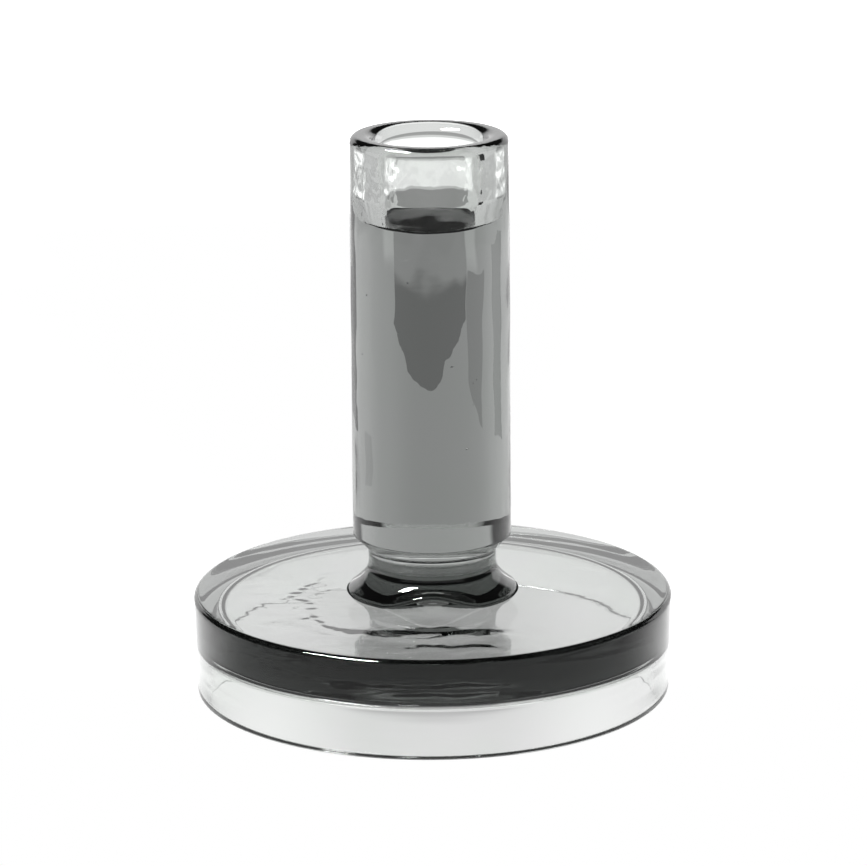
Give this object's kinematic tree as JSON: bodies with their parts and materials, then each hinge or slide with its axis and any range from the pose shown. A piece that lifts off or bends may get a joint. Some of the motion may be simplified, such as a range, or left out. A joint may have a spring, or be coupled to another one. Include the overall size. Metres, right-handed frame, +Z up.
{
  "type": "glass candlestick",
  "caption": "Smoke-grey glass candlestick: a solid round column with a candle socket, joined by a flared collar to a wide disc foot that is hollow underneath.",
  "frame": {"origin": "centre of the ring that the foot rests on, at the level of the surface it stands on", "axes": "+Z up along the candlestick's axis, out of the candle socket; the object is round, so X and Y are free"},
  "size_m": [0.105, 0.105, 0.1237],
  "materials": {
    "foot_glass": "glossy",
    "collar_glass": "glossy",
    "stem_glass": "glossy"
  },
  "bodies": {
    "root": {"foot": "foot_glass", "collar": "collar_glass", "stem": "stem_glass"}
  },
  "joints": []
}
